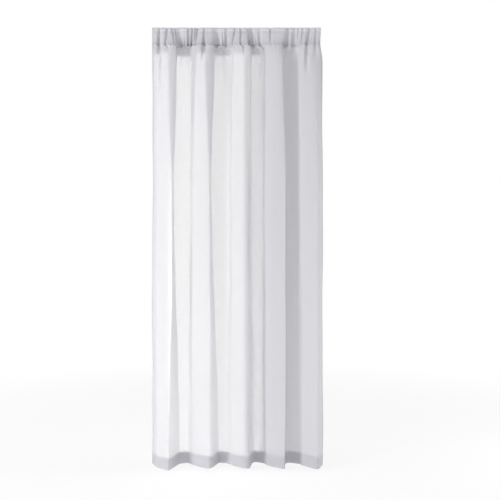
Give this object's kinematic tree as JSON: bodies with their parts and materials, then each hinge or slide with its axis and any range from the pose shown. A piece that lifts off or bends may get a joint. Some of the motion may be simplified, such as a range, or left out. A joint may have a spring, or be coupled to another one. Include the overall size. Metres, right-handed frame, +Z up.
{
  "type": "sheer rod pocket curtain panel",
  "caption": "Sheer voile curtain panel, gathered by an empty rod pocket and hanging full length in soft folds, with hemmed sides and a deep bottom hem.",
  "frame": {"origin": "on the axis of the rod channel inside the pocket, half way across the gathered heading", "axes": "+X along the rod channel to the right as the room sees it, +Y away from the room, +Z up"},
  "size_m": [0.8411, 0.1189, 2.134],
  "materials": {
    "pocket_voile": "sheer plain weave in two gathered layers, matte",
    "drop_voile": "sheer plain weave, matte"
  },
  "bodies": {
    "root": {"rod_pocket": "pocket_voile", "panel": "drop_voile"}
  },
  "joints": []
}
